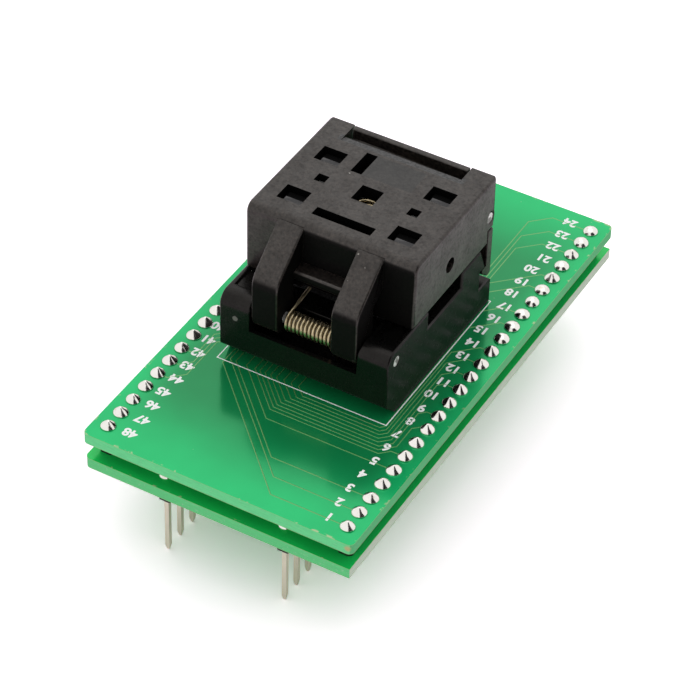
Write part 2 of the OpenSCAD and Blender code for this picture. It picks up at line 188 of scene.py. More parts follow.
# eases a value from 0 at low to 1 at high
def ease(value, low, high):
    return value.node("MapRange", {"interpolation_type": "SMOOTHSTEP"},
                      {"Value": value, "From Min": low, "From Max": high})


def asColour(tint):
    return tint if isinstance(tint, Wire) else (*tint, 1)


def mixTint(share, first, second):
    return share.node("Mix", {"data_type": "RGBA"}, {0: share, 6: asColour(first), 7: asColour(second)}, 2)


# scattered small spots, such as dust or glass flecks
def flecks(place, scale, size, few):
    spots = {"Vector": place, "Scale": scale}
    near = place.node("TexVoronoi", None, spots) < size
    chosen = place.node("TexVoronoi", None, spots, "Color")
    chosen = place.node("SeparateColor", None, {0: chosen}) < few
    return near * chosen


def relief(height, depth, strength=0.6):
    return height.node("Bump", None, {"Height": height, "Strength": strength, "Distance": depth * mm})


# white tent all round, a little brighter to the eye than as a light
tentLook = {"light": 0.88, "seen": 0.12}
studio = bpy.data.worlds.new("studio")
bpy.context.scene.world = studio
studio.use_nodes = True
studio.node_tree.nodes.clear()
sky = Wire(studio.node_tree)
inView = sky.node("LightPath", out="Is Camera Ray") + sky.node("LightPath", out="Is Glossy Ray")
strength = tentLook["light"] + inView * tentLook["seen"]
glow = sky.node("Background", None, {"Color": (1, 1, 1, 1), "Strength": strength})
sky.node("OutputWorld", None, {"Surface": glow})

# pale floor that keeps the shadow
floorLook = {"size": 3.0, "drop": 0.00002, "tint": (0.97, 0.89, 0.95), "bright": 1.6, "lift": 0.02}
bpy.ops.object.select_all(action="DESELECT")
bpy.ops.mesh.primitive_plane_add(size=floorLook["size"], location=(0, 0, -floorLook["drop"]))
floor = bpy.context.object
floor.name = "studioFloor"
floorPaint, ground = emptyFinish("floorPaint")
seen = ground.node("LightPath", out="Is Camera Ray")
paper = mixTint(seen, floorLook["tint"], tuple(c * floorLook["bright"] for c in floorLook["tint"]))
shadedMatt = ground.node("BsdfDiffuse", None, {"Color": paper})
lift = ground.node("Emission", None, {"Color": (1, 1, 1, 1), "Strength": seen * floorLook["lift"]})
closeFinish(ground.node("AddShader", None, {0: shadedMatt, 1: lift}))
floor.data.materials.append(floorPaint)

# dark card in the tent, seen only in what shines: which way it stands, how far, how wide, its low and high edge
cardLook = {"toward": (0.88, -0.475), "away": 0.45, "wide": 0.48, "edges": (0.0, 0.95), "tint": (0.03, 0.03, 0.03)}
cardPaint, shade = emptyFinish("cardPaint")
closeFinish(shade.node("BsdfDiffuse", None, {"Color": asColour(cardLook["tint"])}))
outX, outY = cardLook["toward"]
away, wide = cardLook["away"], cardLook["wide"]
low, high = cardLook["edges"]
bpy.ops.object.select_all(action="DESELECT")
bpy.ops.mesh.primitive_plane_add(size=1)
card = bpy.context.object
card.name = "rightCard"
card.matrix_world = Matrix(((-outY * wide, 0, outX, outX * away), (outX * wide, 0, outY, outY * away),
                            (0, high - low, 0, (low + high) / 2), (0, 0, 0, 1)))
card.visible_camera = card.visible_diffuse = card.visible_shadow = card.visible_transmission = False
card.data.materials.append(cardPaint)
print("studio ready")

# both boards: grains as scale, detail, roughness and stretch, and zones in millimetres from the middle: where the
# painted shade round the socket fades out, and the rim
boardGrains = {
    "cloud": (0.12, 2), "weave": (3.2, 2, 0.5, (1, 1, 0.4)), "plies": (1.4, 3, 0.6, (0.5, 0.5, 7)),
    "rough": (2.6, 4, 0.7), "scuffs": (0.9, 3, 0.6),
}
boardZones = {"socketShadeX": (12.5, 17.2), "socketShadeY": (19, 31), "rimX": (16.8, 17.05), "rimY": (31.25, 31.5)}
boardDust = {"scale": 0.55, "size": 0.035, "few": 0.12}
# shade, dust and wear: the band in which each shows, how much of it and its tint
boardWear = {
    "shade": {"band": (0.3, 0.7), "share": 0.1, "tint": (0, 0, 0)},
    "dust": {"share": 0.5, "tint": (0.55, 0.6, 0.5)},
    "rim": {"band": (0.58, 0.66), "share": 0.7, "tint": (0.6, 0.58, 0.36)},
    "plies": {"band": (0.3, 0.7), "share": 0.6, "tint": (0.05, 0.4, 0.16)},
    "cloth": {"band": (0.55, 0.8), "tint": (0.55, 0.58, 0.5)},
    "skin": {"band": (0.6, 0.66), "share": 0.6, "tint": (0.3, 0.55, 0.2)},
    "chip": {"band": (0.4, 0.8), "ragged": 0.5, "tint": (0.46, 0.43, 0.2)},
}
# how rough faces and edges are at least and how much more, the clear coat, and the bump
boardShine = {
    "face": (0.13, 0.06), "edge": (0.55, 0.25), "coat": 0.1, "coatRough": 0.1, "level": 0.35,
    "weave": 0.06, "depth": 0.04,
}


# circuit board: glossy mask over copper on its faces, glass cloth on its edges
def boardFinish(name, look):
    finish, start, place = startFinish(name)
    zones, wear, shine = boardZones, boardWear, boardShine
    normal = axes(start.node("NewGeometry", out="True Normal"))
    sideways, flat = abs(normal[0]) > 0.5, abs(normal[2]) > 0.5
    x, y, z = axes(place)
    x, y, height = abs(x), abs(y), abs(z - look["middle"])
    cloud, weave, plies, rough, scuffs = (grain(place, *values) for values in boardGrains.values())

    def band(value, kind):
        return ease(value, *wear[kind]["band"])

    def worn(tint, kind, amount):
        return mixTint(amount * wear[kind]["share"], tint, wear[kind]["tint"])

    # painted shade: the inner zone round the socket takes the darker inner tint, fading out towards the rows of pins
    # and the board's ends
    socketShade = (1 - ease(x, *zones["socketShadeX"])) * (1 - ease(y, *zones["socketShadeY"]))
    rim = ease(x, *zones["rimX"]) + ease(y, *zones["rimY"])
    mask = mixTint(socketShade, look["mask"], look["inner"])
    mask = worn(mask, "shade", band(cloud, "shade"))
    mask = worn(mask, "dust", flecks(place, **boardDust))
    mask = worn(mask, "rim", rim * band(scuffs, "rim"))

    # edges turned to the sides take their own tint: darker than the front on the upper board, as painted shade, and
    # paler on the lower one
    edge = mixTint(sideways, look["front"], look["side"])
    edge = mixTint(band(plies, "plies"), edge, worn(edge, "plies", rough))
    edge = mixTint(band(rough, "cloth") * look["worn"], edge, wear["cloth"]["tint"])
    edge = worn(edge, "skin", band(height, "skin"))
    if "chip" in look:
        far = farFrom(place, look["chip"]) + wear["chip"]["ragged"] * rough
        edge = mixTint(1 - band(far, "chip"), edge, wear["chip"]["tint"])

    (faceLeast, faceMore), (edgeLeast, edgeMore) = shine["face"], shine["edge"]
    bump = flat * weave * shine["weave"] + (1 - flat) * (rough + plies)
    closeFinish(start.node("BsdfPrincipled", None, {
        "Base Color": mixTint(flat, edge, mask),
        "Roughness": flat * (faceLeast + faceMore * cloud) + (1 - flat) * (edgeLeast + edgeMore * rough),
        "Metallic": flat * look["metal"], "Coat Weight": flat * shine["coat"], "Coat Roughness": shine["coatRough"],
        "Specular IOR Level": shine["level"], "Normal": relief(bump, shine["depth"])}))
    return finish


# the inner tint is painted shade in the zone round the socket
upperLook = {
    "middle": 14.4, "metal": 0.35, "mask": (0.009, 0.54, 0.165), "inner": (0.007, 0.285, 0.085),
    "front": (0.15, 0.72, 0.29), "side": (0.09, 0.44, 0.17), "worn": 0.3, "chip": (16.6, -31.6, 14.5),
}
lowerLook = {
    "middle": 10.85, "metal": 0.2, "mask": (0.015, 0.68, 0.13), "inner": (0.015, 0.6, 0.12),
    "front": (0.12, 0.62, 0.22), "side": (0.55, 0.6, 0.5), "worn": 0.7,
}
upperFinish = boardFinish("upperBoardMask", upperLook)
lowerFinish = boardFinish("lowerBoardMask", lowerLook)

# plain finishes: the grain between two tints, in a band if there is one, another for what is drawn or rippled,
# how rough at least and how much more, how deep the bump is, and what stays the same all over
plainLooks = {
    "maskOverTrack": {
        "tone": (0.5, 2), "tints": ((0.1, 0.4, 0.12), (0.17, 0.38, 0.12)), "rough": (0.24, 0.08),
        "fixed": {"Metallic": 0.5, "Coat Weight": 0.35, "Coat Roughness": 0.1},
    },
    "whiteInk": {
        "tone": (4, 3), "band": (0.66, 0.85), "tints": ((0.95, 0.96, 0.95), (0.7, 0.84, 0.75)),
        "rough": (0.4, 0.2), "depth": 0.01, "fixed": {},
    },
    "tinSolder": {
        "tone": (0.9, 3), "ripple": (2.2, 2), "tints": ((0.95, 0.92, 0.88), (0.8, 0.77, 0.72)),
        "spots": {"grain": (1.3, 4), "band": (0.58, 0.75), "share": 0.45, "tint": (0.5, 0.4, 0.25)},
        "rough": (0.09, 0.12), "depth": 0.02, "fixed": {"Metallic": 1},
    },
    "tinnedPin": {
        "tone": (0.7, 3), "drawn": (2, 4, 0.6, (6, 6, 0.35)), "tints": ((0.95, 0.88, 0.72), (0.8, 0.74, 0.6)),
        "rough": (0.26, 0.2), "depth": 0.015, "fixed": {"Metallic": 1},
    },
    "groundSteel": {
        "tone": (3, 3, 0.6, (0.3, 4, 4)), "tints": ((0.92, 0.91, 0.89), (0.7, 0.69, 0.67)),
        "spots": {"grain": (0.9, 3), "band": (0.55, 0.64), "share": 0.8, "tint": (0.12, 0.11, 0.1)},
        "rough": (0.34, 0.2), "depth": 0.02, "fixed": {"Metallic": 0.85},
    },
    "springWire": {
        "tone": (3.5, 3), "band": (0.3, 0.7), "tints": ((0.6, 0.5, 0.31), (0.42, 0.35, 0.22)),
        "rough": (0.24, 0.14), "depth": 0.01, "fixed": {"Metallic": 1},
    },
    "goldContact": {
        "tone": (2.4, 3), "tints": ((0.9, 0.64, 0.24), (0.72, 0.47, 0.15)),
        "rough": (0.2, 0.16), "depth": 0.01, "fixed": {"Metallic": 1},
    },
}


def plainFinish(name):
    look = plainLooks[name]
    finish, start, place = startFinish(name)
    tone = grain(place, *look["tone"])
    drawn = grain(place, *look["drawn"]) if "drawn" in look else tone
    ripple = grain(place, *look["ripple"]) if "ripple" in look else drawn
    tint = mixTint(ease(tone, *look["band"]) if "band" in look else tone, *look["tints"])
    if "spots" in look:
        spots = look["spots"]
        share = ease(grain(place, *spots["grain"]), *spots["band"]) * spots["share"]
        tint = mixTint(share, tint, spots["tint"])
    least, more = look["rough"]
    sockets = {"Base Color": tint, "Roughness": least + more * drawn, **look["fixed"]}
    if "depth" in look:
        sockets["Normal"] = relief(ripple, look["depth"])
    closeFinish(start.node("BsdfPrincipled", None, sockets))
    return finish


# patches over moulded plastic, from its fine grain: tints, how rough, how much that varies, how it shines and,
# where a patch lets some of the plastic through, its share
patches = {
    "grey": {"band": (0.4, 0.7), "tints": ((0.001, 0.0015, 0.001), (0.012, 0.014, 0.013)),
             "rough": 0.28, "vary": 0.1, "shine": 0.5, "share": 0.6},
    # painted highlight on the ramp before the latch: a brighter grainy tint
    "worn": {"band": (0.35, 0.65), "tints": ((0.003, 0.003, 0.003), (0.06, 0.058, 0.058)),
             "rough": 0.4, "vary": 0.1, "shine": 0.5},
    # painted shade: near black with little shine, for faces turned to the front or the side
    "shadedMatt": {"tints": ((0.0006, 0.0006, 0.0005), (0.004, 0.004, 0.0035)),
             "rough": 0.6, "vary": 0.2, "shine": 0.06, "share": 0.93},
    # painted light: a brighter tint for the window steps
    "level": {"tints": ((0.02, 0.02, 0.023), (0.035, 0.035, 0.04)),
              "rough": 0.35, "vary": 0.1, "shine": 0.5, "share": 0.6},
    # painted shade: near black for the hollow in the lid and the pad's hooks
    "deep": {"tints": ((0.0006, 0.0006, 0.0006), (0.0015, 0.0015, 0.0015)), "rough": 0.7, "shine": 0.05},
    "ends": {"tints": ((0.05, 0.05, 0.05), (0.12, 0.12, 0.12)), "rough": 0.5, "vary": 0.2, "shine": 0.5},
    # painted shade on the base's faces turned to the sides
    "shadedSides": {"tints": ((0.001, 0.001, 0.001), (0.003, 0.003, 0.003)),
             "rough": 0.5, "vary": 0.2, "shine": 0.1, "share": 0.6},
    "mark": {"tints": ((0.05, 0.05, 0.045), (0.2, 0.19, 0.17)), "rough": 0.5, "vary": 0.2, "shine": 0.5},
    "pits": {"tints": ((0.002, 0.002, 0.002), (0.006, 0.005, 0.005)), "rough": 0.9, "shine": 0},
}


def patched(shader, amount, fine, kind):
    look = patches[kind]
    tone = ease(fine, *look["band"]) if "band" in look else fine
    rough = look["rough"] + look["vary"] * fine if "vary" in look else look["rough"]
    over = fine.node("BsdfPrincipled", None, {"Base Color": mixTint(tone, *look["tints"]), "Roughness": rough,
                                              "Specular IOR Level": look["shine"]})
    share = amount * look["share"] if "share" in look else amount
    return fine.node("MixShader", None, {0: share, 1: shader, 2: over})


# grains of moulded plastic, the band in which each shows and how much it dulls; glass flecks
speckle = {
    "mottle": {"grain": (1.1, 4, 0.65), "dulls": 0.3},
    "cloud": {"grain": (0.4, 4, 0.6), "band": (0.35, 0.65), "dulls": 0.3},
    "fine": {"grain": (3, 0.6), "band": (0.4, 0.7)},
    "pits": {"coarser": 0.8, "grain": (3, 0.65), "band": (0.44, 0.68), "dulls": 0.4},
}
glassLook = {"scale": 0.8, "size": 0.085, "share": 0.8, "tint": (0.4, 0.38, 0.35)}


# moulded plastic: very dark, speckled by fine dull pits, with a mottled sheen and pale glass flecks
def plasticFinish(name, look, cover=None):
    finish, start, place = startFinish(name)

    def band(value, kind):
        return ease(value, *speckle[kind]["band"])

    mottle = grain(place, *speckle["mottle"]["grain"])
    cloud = grain(place, *speckle["cloud"]["grain"])
    fine = grain(place, look["spark"], *speckle["fine"]["grain"])
    pits = grain(place, look["spark"] * speckle["pits"]["coarser"], *speckle["pits"]["grain"])
    glass = flecks(place, glassLook["scale"], glassLook["size"], look["flecks"])
    tint = mixTint(band(fine, "fine"), look["dark"], look["light"])
    shader = start.node("BsdfPrincipled", None, {
        "Base Color": mixTint(glass * glassLook["share"], tint, glassLook["tint"]),
        "Roughness": look["rough"] + look["mottle"] * (mottle - 0.5), "Normal": relief(fine, look["depth"]),
        "Specular IOR Level": look["shine"], "Specular Tint": asColour(look["warm"])})
    spread = (speckle["pits"]["dulls"] * band(pits, "pits") + speckle["mottle"]["dulls"] * mottle
              + speckle["cloud"]["dulls"] * band(cloud, "cloud"))
    shader = patched(shader, spread * look["pits"], fine, "pits")
    for amount, kind in cover(place, fine) if cover else ():
        shader = patched(shader, amount, fine, kind)
    closeFinish(shader)
    return finish


# which way a face looks, in the piece's own frame
def facing(place):
    settings = {"vector_type": "NORMAL", "convert_from": "WORLD", "convert_to": "OBJECT"}
    normal = place.node("NewGeometry", out="Normal")
    return axes(place.node("VectorTransform", settings, {0: normal}))


# from where to where a face turns fully to one side
square = (0.85, 0.97)

# zones on the lid: half width, front and rear of each, the heights of steps and hollow, and where the arms begin
lidZones = {
    "field": (3.85, 3.85, 7.75), "windows": (9.25, -5.75, 8.0), "ramp": (8.1, 8.15, 9.25), "rampFoot": (8.1, 8.3),
    "rampUp": 0.7, "steps": 33.36, "hollow": 33.22, "fade": 0.3, "upright": (0.3, 0.6), "armX": -6.75, "armY": -7.4,
}


# in the lid: painted shade on the hollow inside and the upright window walls, painted light on the window steps, a
# painted highlight on the ramp, painted shade on faces turned to the front or right by the arms, and a greyer field
# at the rear
def lidCover(place, fine):
    zones = lidZones
    x, y, z = axes(place)
    aside, ahead, up = facing(place)

    def zone(half, front, rear):
        return (abs(x) < half) * (y > front) * (y < rear)

    field = zone(*zones["field"]) * (z > zones["steps"])
    # painted highlight on the upward faces of the ramp, fading in from its foot
    ramp = zone(*zones["ramp"]) * (up > zones["rampUp"]) * ease(y, *zones["rampFoot"])
    # painted shade on faces turned to the front, right of the left arm, and on faces turned to the right in front of
    # the lid's front wall
    drawn = ease(-1 * ahead, *square) * (x > zones["armX"]) + ease(aside, *square) * (y < zones["armY"])
    # painted light on the steps in the windows
    over = zone(*zones["windows"])
    # painted shade on the hollow below the steps and on the upright walls in the windows
    hollow = ease(zones["hollow"] - z, 0, zones["fade"])
    wall = 1 - ease(abs(up), *zones["upright"])
    return ((field, "grey"), (ramp, "worn"), (drawn, "shadedMatt"), (over * (z < zones["steps"]), "level"),
            (over * hollow, "deep"), (over * wall, "deep"))


padZones = {"postY": 0.95, "postHalf": 0.8, "ends": 32, "hooks": 30}


# on the pad: the guide posts' ends catch the light, the hooks lie in the dark
def padCover(place, fine):
    zones = padZones
    y, z = axes(place)[1:]
    post = abs(y - zones["postY"]) < zones["postHalf"]
    return (post * (z > zones["ends"]), "ends"), ((1 - post) * (z > zones["hooks"]), "deep")


# a pale spot on the left ear's front: where it lies, the ring over which it fades, and how ragged its edge is
leftEarSpot = {"place": (-8.7, -13.05, 21.8), "ring": (0.42, 0.52), "ragged": 0.25}


# on the base: painted shade on the faces turned to the sides, and a pale spot on the left ear
def baseCover(place, fine):
    far = farFrom(place, leftEarSpot["place"]) + leftEarSpot["ragged"] * fine
    aside = ease(abs(facing(place)[0]), *square)
    return (aside, "shadedSides"), (1 - ease(far, *leftEarSpot["ring"]), "mark")


lidLook = {
    "dark": (0.002, 0.0014, 0.001), "light": (0.026, 0.02, 0.0165), "warm": (1, 0.93, 0.88), "rough": 0.35,
    "mottle": 0.2, "spark": 3.0, "depth": 0.014, "flecks": 0.14, "pits": 0.52, "shine": 0.85,
}
baseLook = {
    "dark": (0.0012, 0.0013, 0.0012), "light": (0.0035, 0.0037, 0.0035), "warm": (1, 0.93, 0.88), "rough": 0.26,
    "mottle": 0.12, "spark": 6, "depth": 0.006, "flecks": 0.07, "pits": 0.4, "shine": 0.3,
}
stripLook = {
    "dark": (0.003, 0.003, 0.003), "light": (0.006, 0.006, 0.006), "warm": (1, 1, 1), "rough": 0.42,
    "mottle": 0.16, "spark": 6, "depth": 0.02, "flecks": 0.05, "pits": 0.2, "shine": 0.4,
}
padLook = {
    "dark": (0.015, 0.015, 0.016), "light": (0.06, 0.06, 0.06), "warm": (1, 1, 1), "rough": 0.5,
    "mottle": 0.16, "spark": 6, "depth": 0.03, "flecks": 0.1, "pits": 0.2, "shine": 0.4,
}
lidPlastic = plasticFinish("lidPlastic", lidLook, lidCover)
latchPlastic = plasticFinish("latchPlastic", lidLook)
basePlastic = plasticFinish("basePlastic", baseLook, baseCover)
stripPlastic = plasticFinish("stripPlastic", stripLook)
padPlastic = plasticFinish("padPlastic", padLook, padCover)
overTrack, whiteInk, tinSolder, tinnedPin, groundSteel, springWire, goldContact = map(plainFinish, plainLooks)


# CAD nodes that keep their own shape
def dress(finish, *names):
    for name in names:
        for holder in nodes[name].material_slots:
            holder.material = finish


dress(upperFinish, "upper_board")
dress(lowerFinish, "lower_board")
dress(stripPlastic, "upper_strip_left", "upper_strip_right", "lower_strip_left", "lower_strip_right")
dress(tinnedPin, "plug_pins_left", "plug_pins_right")
dress(goldContact, "contacts_front", "contacts_rear", "contacts_left", "contacts_right")
dress(groundSteel, "hinge_pin", "latch_pin")
print("finishes ready")


def mode(name):
    bpy.ops.object.mode_set(mode=name)


def clearPick():
    if bpy.context.mode != "OBJECT":
        mode("OBJECT")
    bpy.ops.object.select_all(action="DESELECT")


def pick(*objects):
    clearPick()
    for thing in objects:
        thing.select_set(True)
    bpy.context.view_layer.objects.active = objects[-1]


# draws out what is picked in the mesh
def pull(step):
    bpy.ops.mesh.extrude_region_move(TRANSFORM_OT_translate={"value": step})


# turns every face outward and leaves the mesh
def closeMesh():
    bpy.ops.mesh.select_all(action="SELECT")
    bpy.ops.mesh.normals_make_consistent(inside=False)
    mode("OBJECT")


def settle(piece, name, finish, body, replaced=()):
    pick(piece)
    bpy.ops.object.transform_apply(location=True, rotation=True, scale=True)
    piece.name = name
    piece.data.name = name
    piece.data.materials.clear()
    piece.data.materials.append(finish)
    if body:
        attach(piece, body)
    if replaced:
        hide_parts(*replaced)


# heights of the boards' faces, and where the rows of pins stand
boardTop, lowerTop, lowerFloor = 15.1, 11.55, 10.15
rowX, plugX = 15.24, 7.62
rowStart, pitch, rowPins = -29.21, 2.54, 24


# pins count up along the right row and back along the left one
def rowY(pin):
    place = pin - 1 if pin <= rowPins else 2 * rowPins - pin
    return rowStart + pitch * place


# draws open paths in one mesh, each from one point drawn out along its corners
def drawPaths(paths, height):
    clearPick()
    bpy.ops.mesh.primitive_plane_add(size=mm, location=(0, 0, 0))
    piece = bpy.context.object
    mode("EDIT")
    bpy.ops.mesh.delete(type="VERT")
    for path in paths:
        corners = [Vector((x * mm, y * mm, height * mm)) for x, y in path]
        bpy.ops.mesh.select_all(action="DESELECT")
        bpy.ops.mesh.primitive_plane_add(size=0.1 * mm, location=corners[0])
        bpy.ops.mesh.merge(type="CENTER")
        for near, far in zip(corners, corners[1:]):
            pull(far - near)
    mode("OBJECT")
    return piece


# turns paths into low rounded ridges
def raisePaths(paths, look, height):
    pick(drawPaths(paths, height))
    bpy.ops.object.convert(target="CURVE")
    ridge = bpy.context.object
    ridge.data.bevel_depth = look["width"] / 2 * mm
    ridge.data.bevel_resolution = 1
    ridge.data.use_fill_caps = True
    bpy.ops.object.convert(target="MESH")
    mode("EDIT")
    bpy.ops.mesh.select_all(action="SELECT")
    squeeze = 2 * look["rise"] / look["width"]
    bpy.ops.transform.resize(value=(1, 1, squeeze), center_override=(0, 0, height * mm))
    closeMesh()
    return bpy.context.object


# tracks of the upper board, in millimetres: how far out they start, where they end or turn under the socket
trackLook = {
    "width": 0.14, "rise": 0.015, "from": 14.4, "under": -9.4, "turn": -12.6, "inner": 10.0,
    # pins whose track runs straight in, then slants to the left and under the socket
    "straight": {1: (5.63, -13.58), 2: (4.5, -12.6), 3: (2.7, -12.6), 5: (-1.0, -12.6)},
    # pins whose track runs down beside the socket first: corner points, then where the slant starts
    "round": {
        6: [(14.3, -16.51), (13.47, -16.51), (12.43, -17.55), (-1.38, -17.55)],
        8: [(14.5, -11.43), (14.33, -11.43), (13.62, -12.14), (13.62, -15.54), (12.13, -17.03), (-1.25, -17.03)],
        9: [(14.5, -8.89), (13.76, -8.89), (13.05, -9.6), (13.05, -15.33), (11.88, -16.5), (-1.1, -16.5)],
        11: [(14.5, -3.81), (13.2, -3.81), (12.6, -4.41), (12.6, -14.85), (11.5, -15.95), (-0.92, -15.95)],
        12: [(14.5, -1.27), (13.4, -1.27), (12.16, -2.51), (12.16, -14.49), (11.25, -15.4), (-0.7, -15.4)],
        13: [(14.5, 1.27), (13.46, 1.27), (11.69, -0.5), (11.69, -14.16), (11.0, -14.85), (-0.3, -14.85)],
        14: [(14.5, 3.81), (13.75, 3.81), (11.31, 1.37), (11.31, -13.77), (10.75, -14.33), (0.13, -14.33)],
        16: [(14.5, 8.89), (13.73, 8.89), (10.9, 6.06), (10.9, -13.4), (10.5, -13.8), (0.6, -13.8)],
    },
    # rear pins slant in and run along to the socket; the other row has the same
    "rear": {17: (12.78, 10.2, 8.85), 19: (13.51, 9.97, 9.6), 20: (13.85, 9.34, 9.6), 22: (11.33, 9.0, 9.6),
             23: (10.97, 8.5, 9.6), 24: (10.15, 8.0, 9.6)},
    # front pins of the other row
    "left": {44: (-13.97, -12.37, -11.0), 43: (-14.11, -12.85, -10.5), 42: (-13.9, -13.33, -10.0)},
    "across": range(33, 40),
}


def boardTracks():
    look, paths = trackLook, []
    outer = look["from"]
    for pin, (bend, stop) in look["straight"].items():
        y = rowY(pin)
        far = bend - (stop - y)
        paths.append([(outer, y), (bend, y), (far, stop), (far, look["under"])])
    for path in look["round"].values():
        x, y = path[-1]
        far = x - (look["turn"] - y)
        paths.append(path + [(far, look["turn"]), (far, look["under"])])
    for pin, (bend, inner, stop) in look["rear"].items():
        y = rowY(pin)
        for side in (1, -1):
            paths.append([(outer * side, y), (bend * side, y), (inner * side, y - (bend - inner)),
                          (inner * side, stop)])
    for pin, (bend, inner, stop) in look["left"].items():
        y = rowY(pin)
        paths.append([(-outer, y), (bend, y), (inner, y + inner - bend), (inner, stop),
                      (-look["inner"], stop - look["inner"] - inner)])
    for pin in look["across"]:
        paths.append([(-outer, rowY(pin)), (-look["inner"], rowY(pin))])
    settle(raisePaths(paths, look, boardTop), "boardTracks", overTrack, "stack")


# the lower board carries each outer joint straight across to its plug pin
underTrackLook = {"width": 0.5, "rise": 0.02, "from": 14.4, "to": 8.4}


def underTracks():
    look = underTrackLook
    paths = [[(side * look["from"], rowY(pin)), (side * look["to"], rowY(pin))]
             for pin in range(1, rowPins + 1) for side in (1, -1)]
    settle(raisePaths(paths, look, lowerFloor), "underTracks", overTrack, "stack")


printFrame = {"low": (-11.05, -13.25), "high": (11.05, 11.7), "line": 0.125, "rise": 0.015}


def inkFrame():
    look = printFrame
    size = [(b - a) * mm for a, b in zip(look["low"], look["high"])]
    middle = [(a + b) / 2 * mm for a, b in zip(look["low"], look["high"])]
    clearPick()
    bpy.ops.mesh.primitive_plane_add(size=1, location=(*middle, boardTop * mm))
    piece = bpy.context.object
    mode("EDIT")
    bpy.ops.transform.resize(value=(*size, 1), center_override=(*middle, boardTop * mm))
    bpy.ops.mesh.inset(thickness=look["line"] * mm)
    bpy.ops.mesh.delete(type="FACE")
    bpy.ops.mesh.select_all(action="SELECT")
    pull((0, 0, look["rise"] * mm))
    closeMesh()
    settle(piece, "inkFrame", whiteInk, "stack")


# pin numbers, turned to be read from the rear: how far each stands from the middle, from the front on
numberLook = {
    "size": 1.7, "bold": 0.06, "rise": 0.012, "ahead": 0.33, "smooth": 6,
    "right": [12.8, 12.58, 12.44, 12.58, 12.66, 12.74, 12.7, 12.92, 13.0, 12.88, 13.0, 12.84,
              12.78, 12.69, 12.47, 12.78, 12.88, 12.47, 12.47, 12.38, 12.69, 12.62, 12.56, 12.38],
    "left": [-12.56, -12.56, -12.87, -13.06, -12.95, -13.1, -13.2, -13.44, -13.65] + 15 * [-13.1],
}


def pinNumbers():
    look, made = numberLook, []
    for pin in range(1, 2 * rowPins + 1):
        x = look["right"][pin - 1] if pin <= rowPins else look["left"][2 * rowPins - pin]
        place = (x * mm, (rowY(pin) + look["ahead"]) * mm, boardTop * mm)
        clearPick()
        bpy.ops.object.text_add(location=place, rotation=(0, 0, math.pi))
        number = bpy.context.object
        number.data.body = str(pin)
        number.data.size = look["size"] * mm
        number.data.align_x = "CENTER"
        number.data.align_y = "CENTER"
        number.data.offset = look["bold"] * mm
        number.data.extrude = look["rise"] * mm
        number.data.resolution_u = look["smooth"]
        made.append(number)
    pick(*made)
    bpy.ops.object.convert(target="MESH")
    bpy.ops.object.join()
    settle(bpy.context.object, "pinNumbers", whiteInk, "stack")


boardTracks()
underTracks()
inkFrame()
pinNumbers()
print("board print ready")


# draws a flat face up step by step, each step with its height and radius
def drawUp(sides, foot, steps, turn=0):
    clearPick()
    bpy.ops.mesh.primitive_circle_add(vertices=sides, radius=foot * mm, fill_type="NGON", rotation=(0, 0, turn))
    piece = bpy.context.object
    mode("EDIT")
    bpy.ops.mesh.select_all(action="SELECT")
    rise, wide = 0, foot
    for top, radius in steps:
        pull((0, 0, (top - rise) * mm))
        bpy.ops.transform.resize(value=(radius / wide, radius / wide, 1), center_override=(0, 0, top * mm))
        rise, wide = top, radius
    closeMesh()
    return piece


def copyOf(first, place):
    pick(first)
    bpy.ops.object.duplicate()
    twin = bpy.context.object
    twin.location = [c * mm for c in place]
    return twin


# joins a row of copies, then clears their first shapes away
def joinRow(row, firsts):
    pick(*firsts)
    bpy.ops.object.delete()
    pick(*row)
    bpy.ops.object.join()
    bpy.ops.object.transform_apply(location=True, rotation=True, scale=True)
    mode("EDIT")
    closeMesh()
    return bpy.context.object


# solder joints: drawn up to a point at the front pins, rounder at the rear ones, and none quite like another
jointLook = {
    "foot": 0.93, "sides": 22, "pointed": (*range(1, 15), 20, 22),
    "tent": [(0.05, 0.96), (0.15, 0.92), (0.28, 0.82), (0.42, 0.67), (0.55, 0.5), (0.67, 0.35), (0.79, 0.22),
             (0.86, 0.12), (0.89, 0.05)],
    "dome": [(0.05, 0.96), (0.19, 0.92), (0.35, 0.8), (0.49, 0.62), (0.6, 0.4), (0.66, 0.2), (0.68, 0.07)],
    "tip": (-0.05, 0.05), "turn": (0, 6.28), "wide": (0.96, 1.02), "oval": (0.93, 1.0), "tall": (0.92, 1.08),
}


def jointRow(name, x, height, way, replaced):
    look, row = jointLook, []
    tent, dome = (drawUp(look["sides"], look["foot"], look[sort]) for sort in ("tent", "dome"))
    for first in (tent, dome):
        pick(first)
        bpy.ops.object.shade_smooth()
    for pin in range(1, rowPins + 1):
        joint = copyOf(tent if pin in look["pointed"] else dome, (x, rowY(pin), height))
        joint.rotation_euler = [chance.uniform(*look[sort]) for sort in ("tip", "tip", "turn")]
        wide, oval, tall = (chance.uniform(*look[sort]) for sort in ("wide", "oval", "tall"))
        joint.scale = (wide, wide * oval, way * tall)
        row.append(joint)
    settle(joinRow(row, (tent, dome)), name, tinSolder, "stack", (replaced,))


# joining pins: square wire with both ends drawn to a point inside the solder
pinLook = {"sides": 4, "low": 9.5, "end": 0.18, "steps": [(0.4, 0.39), (5.85, 0.39), (6.2, 0.18)]}


def pinRow(name, x, replaced):
    look = pinLook
    first = drawUp(look["sides"], look["end"], look["steps"], math.pi / look["sides"])
    row = [copyOf(first, (x, rowY(pin), look["low"])) for pin in range(1, rowPins + 1)]
    settle(joinRow(row, [first]), name, tinnedPin, "stack", (replaced,))


